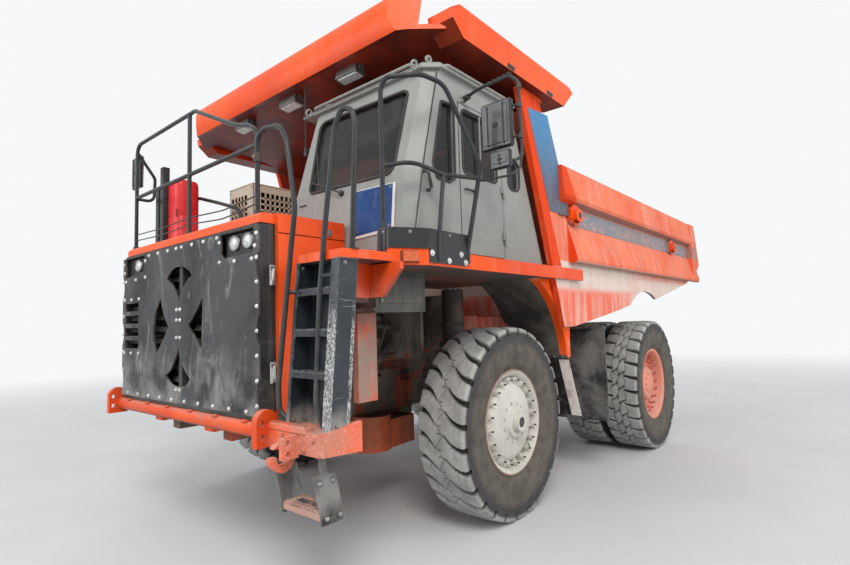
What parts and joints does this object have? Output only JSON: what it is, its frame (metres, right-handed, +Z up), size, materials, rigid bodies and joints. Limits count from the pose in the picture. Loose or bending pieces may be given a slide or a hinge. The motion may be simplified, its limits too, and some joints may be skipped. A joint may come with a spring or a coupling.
{
  "type": "rigid mining dump truck",
  "caption": "Rigid quarry dump truck with a tipping body and canopy, steered front wheels, twin rear wheels, side cab, access ladder and guarded nose.",
  "frame": {"origin": "middle of the whole vehicle's box with its mirrors, on the ground", "axes": "+Z up, -Y forwards, +X to the truck's left, the cab's side"},
  "size_m": [4.7029, 9.0119, 4.5999],
  "materials": {
    "orange": "satin",
    "faded_orange": "matte",
    "grey": "satin",
    "black": "satin",
    "steel": "worn",
    "iron": "matte",
    "rim_grey": "dusty",
    "tyre": "matte",
    "rubber": "matte",
    "glass": "gloss",
    "trim": "matte",
    "lamp": "gloss",
    "red": "gloss",
    "beige": "satin"
  },
  "bodies": {
    "chassis": {"frame_rails": "orange", "frame_members": "orange", "front_arms": "orange", "front_struts": "iron", "rear_axle": "iron", "rear_struts": "iron", "hood_box": "orange", "grille": "black", "guard_panels": "black", "headlamps": "lamp", "engine": "iron", "hood_rear": "orange", "front_bumper": "orange", "hanging_step": "steel", "ladder": "black", "deck_left": "orange", "deck_right": "orange", "fenders": "orange", "front_handrail": "black", "ladder_handrails": "black", "cab_handrails": "black", "cab_shell": "grey", "cab_glass": "glass", "cab_interior": "trim", "fuel_tank": "orange", "belly_guard": "orange", "underdeck_boxes": "grey", "rear_flaps": "rubber", "grille_box": "beige", "red_tank": "red", "stack_posts": "black", "mirror_left": "trim", "mirror_right": "trim"},
    "door": {"cab_door": "grey", "door_glass": "glass"},
    "dump_body": {"body_shell": "faded_orange", "body_rails": "faded_orange", "body_beams": "faded_orange", "body_ribs": "faded_orange", "canopy": "orange", "work_lamps": "lamp", "lifting_eyes": "faded_orange", "hoist_lugs": "faded_orange"},
    "knuckle_left": {"knuckle_left": "iron"},
    "wheel_front_left": {"tyre_front_left": "tyre", "rim_front_left": "rim_grey"},
    "wheels_rear_left": {"tyres_rear_left": "tyre", "rims_rear_left": "faded_orange"},
    "hoist_barrel_left": {"hoist_barrel_left": "iron"},
    "hoist_stage_left": {"hoist_stage_left": "steel"},
    "hoist_tip_left": {"hoist_tip_left": "steel"},
    "knuckle_right": {"knuckle_right": "iron"},
    "wheel_front_right": {"tyre_front_right": "tyre", "rim_front_right": "rim_grey"},
    "wheels_rear_right": {"tyres_rear_right": "tyre", "rims_rear_right": "faded_orange"},
    "hoist_barrel_right": {"hoist_barrel_right": "iron"},
    "hoist_stage_right": {"hoist_stage_right": "steel"},
    "hoist_tip_right": {"hoist_tip_right": "steel"}
  },
  "joints": [
    {"name": "steer_left", "type": "hinge", "parent": "chassis", "child": "knuckle_left", "pos_m": [0.94, -1.975, 0.9], "axis": [0, 0, 1], "range_deg": [-39, 39]},
    {"name": "spin_front_left", "type": "hinge", "parent": "knuckle_left", "child": "wheel_front_left", "pos_m": [1.43, -1.975, 0.9], "axis": [1, 0, 0], "continuous": true},
    {"name": "spin_rear_left", "type": "hinge", "parent": "chassis", "child": "wheels_rear_left", "pos_m": [1.39, 1.525, 0.9], "axis": [1, 0, 0], "continuous": true},
    {"name": "hoist_lean_left", "type": "hinge", "parent": "chassis", "child": "hoist_barrel_left", "pos_m": [0.55, 0.525, 0.6], "axis": [-1, 0, 0], "range_deg": [0, 27.69]},
    {"name": "hoist_stage_left", "type": "slide", "parent": "hoist_barrel_left", "child": "hoist_stage_left", "axis": [0, -0.2216, 0.9751], "range_m": [0, 0.988]},
    {"name": "hoist_tip_left", "type": "slide", "parent": "hoist_stage_left", "child": "hoist_tip_left", "axis": [0, -0.2216, 0.9751], "range_m": [0, 0.988]},
    {"name": "steer_right", "type": "hinge", "parent": "chassis", "child": "knuckle_right", "pos_m": [-1.36, -1.975, 0.9], "axis": [0, 0, 1], "range_deg": [-39, 39]},
    {"name": "spin_front_right", "type": "hinge", "parent": "knuckle_right", "child": "wheel_front_right", "pos_m": [-1.85, -1.975, 0.9], "axis": [1, 0, 0], "continuous": true},
    {"name": "spin_rear_right", "type": "hinge", "parent": "chassis", "child": "wheels_rear_right", "pos_m": [-1.81, 1.525, 0.9], "axis": [1, 0, 0], "continuous": true},
    {"name": "hoist_lean_right", "type": "hinge", "parent": "chassis", "child": "hoist_barrel_right", "pos_m": [-0.97, 0.525, 0.6], "axis": [-1, 0, 0], "range_deg": [0, 27.69]},
    {"name": "hoist_stage_right", "type": "slide", "parent": "hoist_barrel_right", "child": "hoist_stage_right", "axis": [0, -0.2216, 0.9751], "range_m": [0, 0.988]},
    {"name": "hoist_tip_right", "type": "slide", "parent": "hoist_stage_right", "child": "hoist_tip_right", "axis": [0, -0.2216, 0.9751], "range_m": [0, 0.988]},
    {"name": "bed_tip", "type": "hinge", "parent": "chassis", "child": "dump_body", "pos_m": [-0.21, 2.625, 1.76], "axis": [-1, 0, 0], "range_deg": [0, 55]},
    {"name": "door_swing", "type": "hinge", "parent": "chassis", "child": "door", "pos_m": [1.768, -2.202, 3.1], "axis": [0, 0, 1], "range_deg": [0, 80]}
  ],
  "couplings": [
    {"joint": "hoist_lean_left", "follows": "bed_tip", "ratio": 0.5032},
    {"joint": "hoist_stage_left", "follows": "bed_tip", "m_per_rad": 1.029},
    {"joint": "hoist_tip_left", "follows": "bed_tip", "m_per_rad": 1.029},
    {"joint": "steer_right", "follows": "steer_left", "ratio": 1},
    {"joint": "hoist_lean_right", "follows": "bed_tip", "ratio": 0.5032},
    {"joint": "hoist_stage_right", "follows": "bed_tip", "m_per_rad": 1.029},
    {"joint": "hoist_tip_right", "follows": "bed_tip", "m_per_rad": 1.029}
  ]
}
